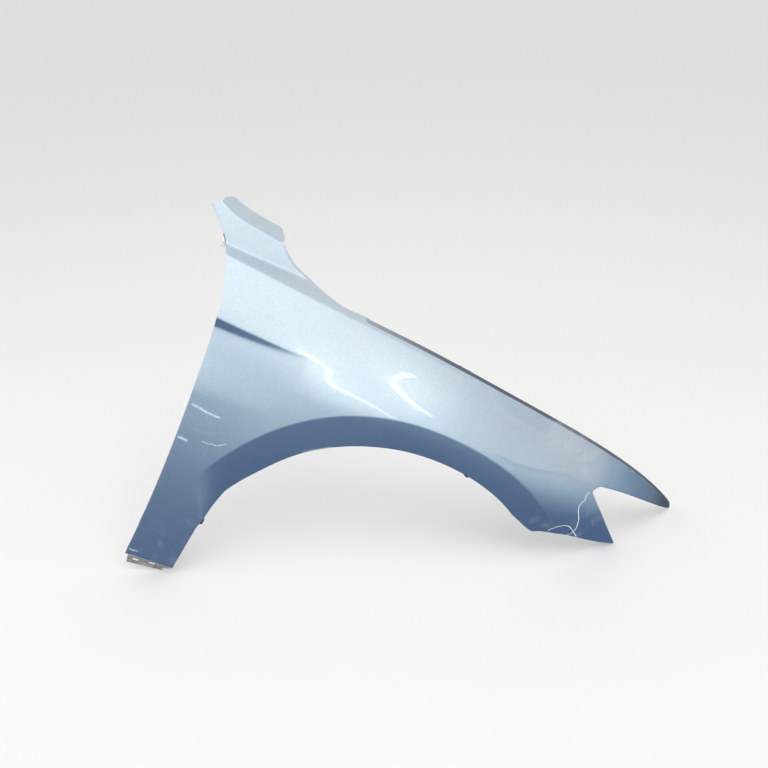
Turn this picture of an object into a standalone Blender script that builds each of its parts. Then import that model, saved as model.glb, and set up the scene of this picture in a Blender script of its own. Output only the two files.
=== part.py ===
# Right-hand front fender of a passenger car: one pressed outer skin with its return
# flanges, the sill bracket behind its foot, and the clips that stay on it.
#
# Everything is drawn in the car's own frame first: origin at the wheel-arch centre,
# x towards the nose, y inboard (the outer face looks to -y), z up. One empty then
# turns it nose down, as it stands on its two lower corners, and puts the middle bolt
# seat of the hood-side flange on the world origin. Lengths are in metres.

import bpy
import bmesh
from bisect import bisect_right
from math import atan2, cos, exp, hypot, radians, sin
from mathutils import Matrix, Vector
from mathutils.geometry import delaunay_2d_cdt, interpolate_bezier

# Sheet and fits
SHEET = 0.0010            # thickness of the pressed skin
GAP = 0.0003              # clearance between pieces that touch
NOSE_DOWN = radians(20)   # how far the standing fender is tipped from its place on the car

# Wheel arch
ARCH_RADIUS = 0.350       # lip of the opening
LIP_DIP = 0.009           # the lip hangs this much lower behind the wheel's top
LIP_DIP_AT = radians(142)
LIP_DIP_SPAN = radians(13)
ARCH_REAR = radians(167.5)  # where the lip meets the rear leg
ARCH_FRONT = radians(50)  # where it runs into the lower edge
BAND_WIDTH = 0.061        # chamfered band between the lip and the arch crease
BAND_SWELL = 0.022        # how much wider the band is above the wheel
BAND_SWELL_AT = radians(112)
BAND_SWELL_SPAN = radians(26)
BAND_INSET = 0.024        # how far inboard of the crease the lip lies
BAND_INSET_FRONT = 0.018  # the same ahead of the wheel
BAND_EASES = (radians(100), radians(62))
BAND_CLOSES = radians(17)  # the crease runs back into the lip over this angle

# Plan and side section of the skin
FRONT_SWEEP = 0.25        # y = sweep * x squared ahead of the wheel centre
FRONT_TURN = 0.35         # plus turn * x to the fourth
REAR_SWEEP = 0.20         # the same behind REAR_SWEEP_FROM
REAR_SWEEP_FROM = -0.164
TUMBLE = 0.045            # how far the side leans inboard up to the shoulder
TUMBLE_HEIGHT = 0.160     # over this height below the shoulder
TUMBLE_POWER = 2.2
LEDGE_DEPTH = 0.036       # ledge above the shoulder, inboard
LEDGE_DEPTH_DOOR = 0.022  # the same at the door edge
LEDGE_SPAN = (-0.44, -0.31)
LEDGE_SLOPE = 0.28        # how steeply the ledge climbs inboard
LEG_LEAN = 0.20           # lean of the pillar leg above the ledge
ROLL_UNDER = 1.20         # inward turn of the front: roll * height below ROLL_HEIGHT squared
ROLL_HEIGHT = 0.335
ROLL_FROM = 0.126
ROLL_SPAN = 0.25

# Pressed wedge at the door edge
WEDGE_LENGTH = 0.162
WEDGE_HEIGHT = 0.019
WEDGE_DEPTH = 0.013
WEDGE_FADE = 0.130        # the skin comes back out over this height below it
WEDGE_TIP = (-0.256, 0.484)
WEDGE_SLOPE = 0.109

# Outline, as curves in (x, z): start, two handles, end
SHOULDER = ((-0.450, 0.599), (0.0995, 0.519), (0.379, 0.483), (0.650, 0.273))
FOOT_REAR = (-0.4695, -0.078)
FOOT_FRONT = (-0.372, -0.078)
LEG_STEP = (-0.350, 0.050)
DOOR_WAIST = (-0.417, 0.530)
LEG_TIP = (-0.477, 0.656)
COWL_REAR = (-0.463, 0.668)
COWL_FRONT = (-0.347, 0.631)
HOOD_REAR_X = -0.226
NOSE_X = 0.641
NOSE_LOW = (0.636, 0.277)
NOSE_BARE_X = 0.575       # ahead of this the nose is too slim to carry flanges
LAMP_START = (0.371, 0.375)
NOTCH = (0.354, 0.363)
LOWER_TIP = (0.4975, 0.2195)
LOWER_REAR = 0.0202       # the lower edge starts this far beyond the lip's radius
LOWER_REAR_AT = radians(39.4)  # and at this angle round the wheel
STRIP_REAR = 0.0046       # height of the hood-side edge above the shoulder, at the rear
STRIP_FRONT = 0.0030      # and towards the nose
STRIP_NARROWS = (-0.10, 0.20)

# Handles of the curved edges, each from its own end of the curve
CORNER_HANDLES = ((0.022, -0.011), (-0.020, 0.005))
LOWER_HANDLES = ((0.049, 0.033), (-0.1025, 0.0125))
NOTCH_HANDLES = ((0.0005, 0.007), (-0.009, 0.0005))
LAMP_HANDLES = ((0.074, -0.012), (-0.096, 0.0495))
LEG_FRONT_HANDLES = ((-0.059, 0.0093), (0.014, -0.035))
COWL_HANDLES = ((-0.048, 0.010), (0.020, -0.020))
DOOR_TOP_HANDLES = ((0.034, -0.034), (-0.002, 0.050))
DOOR_HANDLES = ((-0.001, -0.170), (0.0255, 0.158))

# Return flanges
RELIEF = 0.004            # gap in the flange at each end of an edge
EDGE_FLANGE = 0.012
ARCH_FLANGE = 0.014
LEG_FLANGE = 0.009
DOOR_FLANGE = 0.014
COWL_FACE = 0.036         # turned-in face at the top of the leg
COWL_RISE = 0.009
COWL_TURN = radians(17)   # the face is square to the leg's top edge
COWL_ENDS = 0.3           # share of its width left at each end
COWL_EASE = 0.016
HOOD_WALL = 0.012         # wall that drops from the hood edge
HOOD_SEAT = 0.010         # flange inboard from the foot of that wall
SEAT_REACH = 0.018        # how far a bolt seat stands out beyond its flange
SEAT_WIDTH = 0.026
BOLT_HOLE = 0.0034        # radius
BESIDE_HOLE = 0.0083      # from a seat's hole to the middle of the flat beside it
CLIP_WIDTH = 0.013
HOOD_SEATS = (0.10, 0.38, 0.70, 0.95)
DOOR_SEATS = (0.30, 0.86)
LAMP_SEATS = (0.88,)
BUMPER_SEATS = (0.50,)
STEP_CLIPS = (0.50,)
ARCH_CLIPS = (0.80,)
LOWER_CLIPS = (0.53, 0.84)
DOOR_CLIPS = (0.385,)
CLIP_SEAT = CLIP_WIDTH + 0.003
CREASE_CLEAR = 0.0015     # least distance from a crease to a seat or a flange's end

# Mesh
CUT_THROUGH = 0.010       # length of a cutter that only has to pass the sheet
GRID = 0.016              # spacing of the skin's points
EDGE_STEP = 0.016         # longest facet along an edge
PATH_STEPS = 48

# Sill bracket
BRACKET_SHEET = 0.0015
BRACKET_INSET = 0.006     # from each side of the foot
BRACKET_LAP = 0.024       # how far it reaches up behind the skin
BRACKET_DROP = 0.024      # how far it hangs below the foot
BRACKET_BENDS = (0.010, 0.002)  # above the foot, where the lap turns into the flat
BRACKET_JOGGLE = 0.001
SLOT_LENGTH = 0.014
SLOT_RADIUS = 0.0032
SLOTS = (0.20, 0.58)
BRACKET_NOTCH = (0.012, 0.008)

# Clips
LEAF = 0.0012
CLIP_REACH = 0.010
BARREL_RADIUS = 0.0045
BARREL_HEIGHT = 0.006
SCREW_RADIUS = 0.0022
HEAD_RADIUS = 0.006
HEAD_HEIGHT = 0.0035
BOSS_SINK = 0.0004        # how far a barrel or head is rooted in its leaf
JAW_HEIGHT = 0.012
JAW_REACH = 0.018
JAW_WALL = 0.0034
JAW_LIP = 0.006
PRONG_REACH = 0.014
PRONG_GAP = 0.012
PRONG_THICK = 0.004
PRONG_DEPTH = 0.009
PRONG_BACK = 0.010        # from the flange's free edge to the prongs' outboard side
PRONG_DROP = 0.008        # the prongs sit this far below the jaw
PRONG_SINK = 0.0014       # how far they are rooted in its wall


def clear_scene():
    for item in list(bpy.data.objects):
        bpy.data.objects.remove(item, do_unlink=True)


def smooth(t):
    t = min(max(t, 0.0), 1.0)
    return t * t * (3 - 2 * t)


def blend(a, b, t):
    return a + (b - a) * t


def bezier(start, handle_a, handle_b, end, steps=PATH_STEPS):
    """Points in (x, z) along one cubic curve."""
    knots = [Vector((p[0], p[1], 0)) for p in (start, handle_a, handle_b, end)]
    curve = interpolate_bezier(knots[0], knots[1], knots[2], knots[3], steps + 1)
    return [(p.x, p.y) for p in curve]


def curved(start, handles, end, steps=PATH_STEPS):
    """The same for one edge, whose handles are given from its ends."""
    (ax, az), (bx, bz) = handles
    return bezier(start, (start[0] + ax, start[1] + az), (end[0] + bx, end[1] + bz), end, steps)


SHOULDER_PATH = bezier(*SHOULDER, steps=240)
SHOULDER_X = [p[0] for p in SHOULDER_PATH]


def shoulder(x):
    """Height of the shoulder crease at x."""
    i = min(max(bisect_right(SHOULDER_X, x) - 1, 0), len(SHOULDER_X) - 2)
    (xa, za), (xb, zb) = SHOULDER_PATH[i:i + 2]
    return blend(za, zb, (x - xa) / (xb - xa))


def hood_edge(x):
    near, far = STRIP_NARROWS
    strip = blend(STRIP_REAR, STRIP_FRONT, smooth((x - near) / (far - near)))
    return shoulder(x) + strip


def lip_radius(angle):
    return ARCH_RADIUS - LIP_DIP * exp(-((angle - LIP_DIP_AT) / LIP_DIP_SPAN) ** 2)


def band_width(angle):
    """Width of the arch band at an angle round the wheel, 0 forward."""
    swell = BAND_SWELL * exp(-((angle - BAND_SWELL_AT) / BAND_SWELL_SPAN) ** 2)
    return (BAND_WIDTH + swell) * smooth((ARCH_REAR - angle) / BAND_CLOSES)


def wedge_top(x):
    return WEDGE_TIP[1] + (WEDGE_TIP[0] - x) * WEDGE_SLOPE


def wedge_share(x):
    return min(max((WEDGE_TIP[0] - x) / WEDGE_LENGTH, 0.0), 1.0)


def wedge_low(x):
    return wedge_top(x) - WEDGE_HEIGHT * wedge_share(x)


def plan_curve(x):
    if x > 0:
        return FRONT_SWEEP * x ** 2 + FRONT_TURN * x ** 4
    if x < REAR_SWEEP_FROM:
        return REAR_SWEEP * (x - REAR_SWEEP_FROM) ** 2
    return 0.0


def tumble_home(drop):
    """Inboard lean of the side at a drop below the shoulder."""
    return TUMBLE * max(1 - max(drop, 0.0) / TUMBLE_HEIGHT, 0.0) ** TUMBLE_POWER


def ledge_rise(x):
    """Height of the ledge's inner edge above the shoulder."""
    door, front = LEDGE_SPAN
    share = min(max((x - door) / (front - door), 0.0), 1.0)
    return LEDGE_SLOPE * blend(LEDGE_DEPTH_DOOR, LEDGE_DEPTH, share)


def ledge(x, rise):
    """The shelf above the shoulder, then the leaning face of the pillar leg."""
    if rise <= 0:
        return 0.0
    top = ledge_rise(x)
    return min(rise, top) / LEDGE_SLOPE + LEG_LEAN * max(rise - top, 0.0)


def wedge(x, z):
    share = wedge_share(x)
    below = wedge_top(x) - z
    if share <= 0 or below <= 0:
        return 0.0
    face = min(below / (WEDGE_HEIGHT * share), 1.0)
    fade = 1 - smooth((wedge_low(x) - z) / WEDGE_FADE)
    return WEDGE_DEPTH * share * face * fade


def arch_band(x, z):
    angle = atan2(z, x)
    width = band_width(angle)
    over = ARCH_RADIUS + width - hypot(x, z)
    if z < 0 or width <= 0 or over <= 0:
        return 0.0
    rear, front = BAND_EASES
    inset = blend(BAND_INSET, BAND_INSET_FRONT, smooth((angle - rear) / (front - rear)))
    return inset * over / max(width, BAND_WIDTH)


def roll_under(x, z):
    strength = ROLL_UNDER * smooth((x - ROLL_FROM) / ROLL_SPAN)
    return strength * max(ROLL_HEIGHT - z, 0.0) ** 2


def depth(x, z):
    """How far inboard the outer face lies at (x, z)."""
    drop = shoulder(x) - z
    body = plan_curve(x) + tumble_home(drop) + ledge(x, -drop)
    return body + wedge(x, z) + arch_band(x, z) + roll_under(x, z)


def on_skin(x, z):
    return Vector((x, depth(x, z), z))


def arch_lip():
    turn = (ARCH_FRONT - ARCH_REAR) / PATH_STEPS
    angles = [ARCH_REAR + turn * i for i in range(PATH_STEPS + 1)]
    return [(lip_radius(a) * cos(a), lip_radius(a) * sin(a)) for a in angles]


def hood_run(front, rear):
    xs = [blend(front, rear, i / PATH_STEPS) for i in range(PATH_STEPS + 1)]
    return [(x, hood_edge(x)) for x in xs]


def outline():
    """The trimmed edge, counter-clockwise seen from outside: name and path of each stretch."""
    arch = arch_lip()
    beyond = ARCH_RADIUS + LOWER_REAR
    lower_rear = (beyond * cos(LOWER_REAR_AT), beyond * sin(LOWER_REAR_AT))
    hood = hood_run(NOSE_BARE_X, HOOD_REAR_X)
    tip = hood_run(NOSE_X, NOSE_BARE_X)
    lamp = curved(LAMP_START, LAMP_HANDLES, NOSE_LOW)
    bare = next(i for i, p in enumerate(lamp) if p[0] > NOSE_BARE_X)
    return [
        ("foot", [FOOT_REAR, FOOT_FRONT]),
        ("leg_edge", [FOOT_FRONT, LEG_STEP]),
        ("leg_step", [LEG_STEP, arch[0]]),
        ("arch", arch),
        ("arch_corner", curved(arch[-1], CORNER_HANDLES, lower_rear, 8)),
        ("lower", curved(lower_rear, LOWER_HANDLES, LOWER_TIP)),
        ("bumper", [LOWER_TIP, NOTCH]),
        ("notch", curved(NOTCH, NOTCH_HANDLES, LAMP_START, 6)),
        ("lamp", lamp[:bare + 1]),
        ("nose_lower", lamp[bare:]),
        ("nose", [NOSE_LOW, tip[0]]),
        ("nose_upper", tip),
        ("hood", hood),
        ("leg_front", curved(hood[-1], LEG_FRONT_HANDLES, COWL_FRONT)),
        ("cowl", curved(COWL_FRONT, COWL_HANDLES, COWL_REAR)),
        ("leg_top", [COWL_REAR, LEG_TIP]),
        ("door_top", curved(LEG_TIP, DOOR_TOP_HANDLES, DOOR_WAIST)),
        ("door", curved(DOOR_WAIST, DOOR_HANDLES, FOOT_REAR)),
    ]


# Places along an edge that carry a bolt seat or a clip: shares of its length and widths
SEATS = {
    "hood": (HOOD_SEATS, SEAT_WIDTH),
    "door": (DOOR_SEATS, SEAT_WIDTH),
    "lamp": (LAMP_SEATS, SEAT_WIDTH),
    "bumper": (BUMPER_SEATS, SEAT_WIDTH),
    "door_top": (DOOR_CLIPS, CLIP_SEAT),
    "leg_step": (STEP_CLIPS, CLIP_SEAT),
    "arch": (ARCH_CLIPS, CLIP_SEAT),
    "lower": (LOWER_CLIPS, CLIP_SEAT),
}

# Where each crease leaves the panel: the value changes sign as an edge crosses it
CREASES = {
    "shoulder": lambda x, z: z - shoulder(x),
    "ledge": lambda x, z: z - shoulder(x) - ledge_rise(x),
    "wedge_top": lambda x, z: z - wedge_top(x),
    "wedge_low": lambda x, z: z - wedge_low(x),
    "arch": lambda x, z: hypot(x, z) - ARCH_RADIUS - band_width(atan2(z, x)),
}
CROSSED = {
    "door": ("wedge_top", "wedge_low"),
    "door_top": ("shoulder", "ledge"),
    "leg_front": ("ledge",),
    "nose": ("shoulder",),
    "lower": ("arch",),
}


def lengths(path):
    total = [0.0]
    for (xa, za), (xb, zb) in zip(path, path[1:]):
        total.append(total[-1] + hypot(xb - xa, zb - za))
    return total


def at_length(path, run, where):
    for i in range(len(path) - 1):
        if where <= run[i + 1]:
            t = (where - run[i]) / (run[i + 1] - run[i])
            return (blend(path[i][0], path[i + 1][0], t), blend(path[i][1], path[i + 1][1], t))
    return path[-1]


def crossing(path, run, test):
    for i in range(len(path) - 1):
        a = test(*path[i])
        b = test(*path[i + 1])
        if a * b <= 0 and a != b:
            return blend(run[i], run[i + 1], a / (a - b))
    return None


def seat_spans(name, total, crossed):
    """Ends of each seat along an edge; a seat that a crease would cross moves on past it."""
    shares, width = SEATS.get(name, ((), 0))
    spans = []
    for share in shares:
        start = share * total - width / 2
        for where in crossed:
            if start - CREASE_CLEAR < where < start + width + CREASE_CLEAR:
                start = where + CREASE_CLEAR
        spans.append((start, start + width))
    return spans


def stations(name, path, step):
    """Points that one edge gets, and which of its facets are seats."""
    run = lengths(path)
    total = run[-1]
    found = [crossing(path, run, CREASES[crease]) for crease in CROSSED.get(name, ())]
    crossed = sorted(where for where in found if where is not None)
    seats = seat_spans(name, total, crossed)
    fixed = {0.0, total}.union(crossed, *seats)
    if total > 4 * RELIEF:
        ends = (RELIEF, total - RELIEF)
        fixed |= {s for s in ends if all(abs(s - where) > CREASE_CLEAR for where in crossed)}
    knots = sorted(fixed)
    places = [knots[0]]
    for a, b in zip(knots, knots[1:]):
        parts = 1 if (a, b) in seats else max(1, round((b - a) / step + 0.3))
        places += [blend(a, b, (i + 1) / parts) for i in range(parts)]
    points = [at_length(path, run, s) for s in places]
    marked = [i for i, s in enumerate(places) if any(abs(s - a) < 1e-9 for a, b in seats)]
    return points, marked


def crease_lines(step):
    """Lines inside the outline that the skin folds along."""
    def span(x0, x1, height):
        count = max(2, round(abs(x1 - x0) / step))
        return [(blend(x0, x1, i / count), height(blend(x0, x1, i / count))) for i in range(count + 1)]

    edges = dict(outline())

    def leaves(name, crease):
        path = edges[name]
        run = lengths(path)
        where = crossing(path, run, CREASES[crease])
        if where is None:
            raise ValueError(f"the {crease} crease no longer reaches the {name} edge")
        return at_length(path, run, where)

    door_x = leaves("door_top", "shoulder")[0]
    ledge_rear = leaves("door_top", "ledge")[0]
    ledge_front = leaves("leg_front", "ledge")[0]
    top_x = leaves("door", "wedge_top")[0]
    low_x = leaves("door", "wedge_low")[0]
    low_end = leaves("lower", "arch")
    start = atan2(low_end[1], low_end[0])
    end = ARCH_REAR - 0.3 * BAND_CLOSES
    count = round((end - start) * ARCH_RADIUS / step)
    angles = [blend(start, end, i / count) for i in range(count + 1)]
    ring = [((ARCH_RADIUS + band_width(a)) * cos(a), (ARCH_RADIUS + band_width(a)) * sin(a)) for a in angles]
    return [
        span(door_x, leaves("nose", "shoulder")[0], shoulder),
        span(ledge_rear, ledge_front, lambda x: shoulder(x) + ledge_rise(x)),
        span(top_x, WEDGE_TIP[0], wedge_top),
        span(low_x, WEDGE_TIP[0], wedge_low),
        ring,
    ]


def grid_points(border, lines, step):
    """Evenly staggered points inside the outline, clear of every edge and crease."""
    near = [p for line in lines + [border] for p in line]
    cells = {}
    for p in near:
        cells.setdefault((int(p[0] // step), int(p[1] // step)), []).append(p)

    def clear(x, z):
        i, j = int(x // step), int(z // step)
        around = [q for a in (-1, 0, 1) for b in (-1, 0, 1) for q in cells.get((i + a, j + b), ())]
        return all(hypot(x - q[0], z - q[1]) > 0.62 * step for q in around)

    def inside(x, z):
        hit = False
        for (xa, za), (xb, zb) in zip(border, border[1:] + border[:1]):
            if (za > z) != (zb > z) and x < xa + (z - za) / (zb - za) * (xb - xa):
                hit = not hit
        return hit

    row_step = step * 0.866
    found = []
    row = 0
    z = min(p[1] for p in border)
    while z < max(p[1] for p in border):
        x = min(p[0] for p in border) + (step / 2 if row % 2 else 0)
        while x < max(p[0] for p in border):
            if inside(x, z) and clear(x, z):
                found.append((x, z))
            x += step
        z += row_step
        row += 1
    return found


def press_skin(bm, grid=GRID, step=EDGE_STEP):
    """Cuts the blank to its outline, folds it along the creases and presses its depth.

    Returns the points of every edge, in order, and the seat facets on each."""
    border = []
    spans = {}
    for name, path in outline():
        points, marked = stations(name, path, step)
        spans[name] = (len(border), len(points), marked)
        border += points[:-1]
    coords = list(border)
    edges = [(i, (i + 1) % len(border)) for i in range(len(border))]
    lines = crease_lines(step)
    for line in lines:
        first = len(coords)
        coords += line
        edges += [(i, i + 1) for i in range(first, first + len(line) - 1)]
    coords += grid_points(border, lines, grid)
    flat = [Vector(p) for p in coords]
    verts, _, faces, sources, _, _ = delaunay_2d_cdt(flat, edges, [list(range(len(border)))], 1, 1e-5)
    made = [bm.verts.new(on_skin(v.x, v.y)) for v in verts]
    for face in faces:
        corners = [made[i] for i in face]
        a, b, c = (verts[i] for i in face[:3])
        if (b - a).cross(c - a) < 0:
            corners.reverse()
        bm.faces.new(corners)
    found = {}
    for index, source in enumerate(sources):
        for old in source:
            found[old] = made[index]
    chains = {}
    for name, (first, count, marked) in spans.items():
        chain = [found[(first + i) % len(border)] for i in range(count)]
        chains[name] = (chain, marked)
    return chains


def fold(bm, chain, moves):
    """Folds strips along a run of edge points: one strip for each move from the last."""
    previous = list(chain)
    for move in moves:
        fresh = [bm.verts.new(v.co + move(v.co)) for v in previous]
        for a, b, c, d in zip(previous, previous[1:], fresh[1:], fresh):
            bm.faces.new((b, a, d, c))
        previous = fresh
    return previous


def seat_frame(a, b, out):
    """Axes of a flat seat: along its edge, outward across it, and its outer normal."""
    along = (b - a).normalized()
    normal = out.cross(along).normalized()
    matrix = Matrix((along, out, normal)).transposed().to_4x4()
    matrix.translation = (a + b) / 2
    return matrix


def add_flanges(bm, chains):
    """Turns the edges in. Returns the frame of each seat, at its flange's free edge."""
    inboard = Vector((0, 1, 0))
    seats = {}

    def run(name, moves, reach=0.0):
        chain, marked = chains[name]
        free = fold(bm, chain[1:-1], moves)
        for number, index in enumerate(marked):
            a, b = free[index - 1], free[index]
            seats[f"{name}_{number + 1}"] = seat_frame(a.co, b.co, inboard)
            if reach:
                c = bm.verts.new(b.co + inboard * reach)
                d = bm.verts.new(a.co + inboard * reach)
                bm.faces.new((b, a, d, c))

    def turned_in(width):
        return [lambda co: inboard * width]

    def cowl_face(co):
        across = Vector((sin(COWL_TURN), 0, cos(COWL_TURN)))
        from_end = min(co.x - COWL_REAR[0], COWL_FRONT[0] - co.x)
        share = blend(COWL_ENDS, 1, smooth(from_end / COWL_EASE))
        return (inboard * COWL_FACE + across * COWL_RISE) * share

    run("leg_edge", turned_in(EDGE_FLANGE))
    run("leg_step", turned_in(ARCH_FLANGE))
    run("arch", turned_in(ARCH_FLANGE))
    run("lower", turned_in(EDGE_FLANGE))
    run("bumper", turned_in(EDGE_FLANGE), SEAT_REACH)
    run("lamp", turned_in(EDGE_FLANGE), SEAT_REACH)
    run("hood", [lambda co: Vector((0, 0.001, -HOOD_WALL)), lambda co: inboard * HOOD_SEAT], SEAT_REACH)
    run("leg_front", turned_in(LEG_FLANGE))
    run("cowl", [cowl_face])
    run("door_top", turned_in(DOOR_FLANGE))
    run("door", turned_in(DOOR_FLANGE), SEAT_REACH)
    return seats


def material(name, colour, roughness, metallic=0.0, coat=0.0):
    made = bpy.data.materials.new(name)
    made.use_nodes = True
    shader = made.node_tree.nodes["Principled BSDF"]
    shader.inputs["Base Color"].default_value = (*colour, 1)
    shader.inputs["Roughness"].default_value = roughness
    shader.inputs["Metallic"].default_value = metallic
    shader.inputs["Coat Weight"].default_value = coat
    return made


def to_object(bm, name, surface, frame, angle=radians(24)):
    mesh = bpy.data.meshes.new(name)
    bm.normal_update()
    bm.to_mesh(mesh)
    bm.free()
    mesh.shade_smooth()
    mesh.set_sharp_from_angle(angle=angle)
    made = bpy.data.objects.new(name, mesh)
    bpy.context.collection.objects.link(made)
    if surface:
        mesh.materials.append(surface)
    made.parent = frame
    return made


def thicken(target, thickness):
    sheet = target.modifiers.new("sheet", "SOLIDIFY")
    sheet.solidify_mode = "NON_MANIFOLD"
    sheet.nonmanifold_thickness_mode = "CONSTRAINTS"
    sheet.thickness = thickness
    sheet.offset = -1


def boolean(target, other, operation):
    cut = target.modifiers.new(other.name, "BOOLEAN")
    cut.operation = operation
    cut.solver = "EXACT"
    cut.object = other


def cutter(name, bm, frame):
    made = to_object(bm, name, None, frame)
    made.hide_render = True
    made.display_type = "WIRE"
    return made


def prism(bm, points, matrix, height):
    """Extrudes a polygon, given in the matrix's first two axes, both ways along its third."""
    ring = [bm.verts.new(matrix @ Vector((p[0], p[1], -height / 2))) for p in points]
    base = bm.faces.new(ring)
    grown = bmesh.ops.extrude_face_region(bm, geom=[base])["geom"]
    lift = matrix.to_3x3() @ Vector((0, 0, height))
    bmesh.ops.translate(bm, verts=[g for g in grown if isinstance(g, bmesh.types.BMVert)], vec=lift)
    bmesh.ops.recalc_face_normals(bm, faces=bm.faces)


def round_points(radius, count=16, centre=(0, 0)):
    turn = radians(360) / count
    return [(centre[0] + radius * cos(turn * i), centre[1] + radius * sin(turn * i)) for i in range(count)]


def slot_points(length, radius, count=8):
    half = length / 2 - radius
    right = [radians(-90 + 180 * i / count) for i in range(count + 1)]
    points = [(half + radius * cos(a), radius * sin(a)) for a in right]
    return points + [(-x, -z) for x, z in points]


def make_panel(frame, paint):
    bm = bmesh.new()
    chains = press_skin(bm)
    seats = add_flanges(bm, chains)
    panel = to_object(bm, "fender_panel", paint, frame)
    thicken(panel, SHEET)
    holes = bmesh.new()
    for name, seat in seats.items():
        if name.startswith(("leg_step", "arch", "lower")):
            prism(holes, round_points(SCREW_RADIUS, 12, (0, -CLIP_REACH / 2)), seat, CUT_THROUGH)
        elif not name.startswith("door_top"):
            prism(holes, round_points(BOLT_HOLE, 12, (0, SEAT_REACH / 2)), seat, CUT_THROUGH)
    boolean(panel, cutter("panel_holes", holes, frame), "DIFFERENCE")
    return seats


def make_bracket(frame, metal):
    """Joggled plate behind the foot: its upper lap follows the skin, its lower part is flat."""
    left = FOOT_REAR[0] + BRACKET_INSET
    right = FOOT_FRONT[0] - BRACKET_INSET
    foot = FOOT_REAR[1]
    behind = SHEET + GAP
    plane = max(depth(left, foot), depth(right, foot)) + behind + BRACKET_JOGGLE
    levels = [foot + rise for rise in (BRACKET_LAP, *BRACKET_BENDS, -BRACKET_DROP)]
    bm = bmesh.new()
    rows = []
    for level, flat in zip(levels, (False, False, True, True)):
        xs = [blend(left, right, i / 6) for i in range(7)]
        rows.append([bm.verts.new((x, plane if flat else depth(x, level) + behind, level)) for x in xs])
    for lower, upper in zip(rows[1:], rows):
        for i in range(6):
            bm.faces.new((lower[i], lower[i + 1], upper[i + 1], upper[i]))
    bracket = to_object(bm, "sill_bracket", metal, frame)
    thicken(bracket, BRACKET_SHEET)
    holes = bmesh.new()
    for share in SLOTS:
        centre = Vector((blend(left, right, share), plane, foot - BRACKET_DROP * 0.52))
        place = Matrix.Translation(centre) @ Matrix.Rotation(radians(90), 4, "X")
        prism(holes, slot_points(SLOT_LENGTH, SLOT_RADIUS), place, CUT_THROUGH)
    wide, high = BRACKET_NOTCH
    corner = Vector((right, plane, foot - BRACKET_DROP))
    place = Matrix.Translation(corner) @ Matrix.Rotation(radians(90), 4, "X")
    prism(holes, [(-wide, -high), (wide, -high), (wide, high), (-wide, high)], place, CUT_THROUGH)
    boolean(bracket, cutter("bracket_holes", holes, frame), "DIFFERENCE")


def spring_clip(name, seat, surface, frame, head):
    """U-shaped clip over a flange's free edge, with its screw barrel, or a round push head."""
    outer = GAP + LEAF
    inner = -SHEET - GAP - LEAF
    profile = [
        (-CLIP_REACH, GAP), (-CLIP_REACH, outer), (outer, outer), (outer, inner),
        (-CLIP_REACH, inner), (-CLIP_REACH, -SHEET - GAP), (GAP, -SHEET - GAP), (GAP, GAP),
    ]
    along, out, normal = (seat.to_3x3().col[i] for i in range(3))
    side = Matrix((out, normal, along)).transposed().to_4x4()
    side.translation = seat.translation
    bm = bmesh.new()
    prism(bm, profile, side, CLIP_WIDTH)
    clip = to_object(bm, name, surface, frame)
    middle = Matrix.Translation(out * (-CLIP_REACH / 2)) @ seat
    barrel = bmesh.new()
    if head:
        place = Matrix.Translation(normal * (outer + HEAD_HEIGHT / 2 - BOSS_SINK)) @ middle
        prism(barrel, round_points(HEAD_RADIUS, 16), place, HEAD_HEIGHT)
    else:
        place = Matrix.Translation(normal * (inner - BARREL_HEIGHT / 2 + BOSS_SINK)) @ middle
        prism(barrel, round_points(BARREL_RADIUS, 16), place, BARREL_HEIGHT)
    boolean(clip, cutter(f"{name}_boss", barrel, frame), "UNION")
    if not head:
        hole = bmesh.new()
        prism(hole, round_points(SCREW_RADIUS, 12), middle, 3 * CUT_THROUGH)
        boolean(clip, cutter(f"{name}_hole", hole, frame), "DIFFERENCE")


def make_pillar_clip(seat, surface, frame):
    """White clip: a jaw over the door-side flange and a C-shaped pair of prongs, open to the rear."""
    along, out, normal = (seat.to_3x3().col[i] for i in range(3))
    inner = -SHEET - GAP
    wall = GAP + JAW_WALL
    jaw = [
        (GAP, -JAW_REACH), (wall, -JAW_REACH), (wall, wall), (inner - LEAF, wall),
        (inner - LEAF, -JAW_LIP), (inner, -JAW_LIP), (inner, GAP), (GAP, GAP),
    ]
    side = Matrix((normal, out, along)).transposed().to_4x4()
    side.translation = seat.translation
    bm = bmesh.new()
    prism(bm, jaw, side, JAW_HEIGHT)
    clip = to_object(bm, "pillar_clip", surface, frame)
    near = wall - PRONG_SINK
    spine = near + PRONG_THICK
    far = near + PRONG_REACH
    low = PRONG_DROP - PRONG_GAP / 2 - PRONG_THICK
    high = PRONG_DROP + PRONG_GAP / 2 + PRONG_THICK
    face = [
        (near, low), (far, low), (far, low + PRONG_THICK), (spine, low + PRONG_THICK),
        (spine, high - PRONG_THICK), (far, high - PRONG_THICK), (far, high), (near, high),
    ]
    turned = Matrix((normal, along, normal.cross(along))).transposed().to_4x4()
    turned.translation = seat.translation + out * (PRONG_DEPTH / 2 - PRONG_BACK)
    prongs = bmesh.new()
    prism(prongs, face, turned, PRONG_DEPTH)
    boolean(clip, cutter("pillar_clip_prongs", prongs, frame), "UNION")


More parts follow.
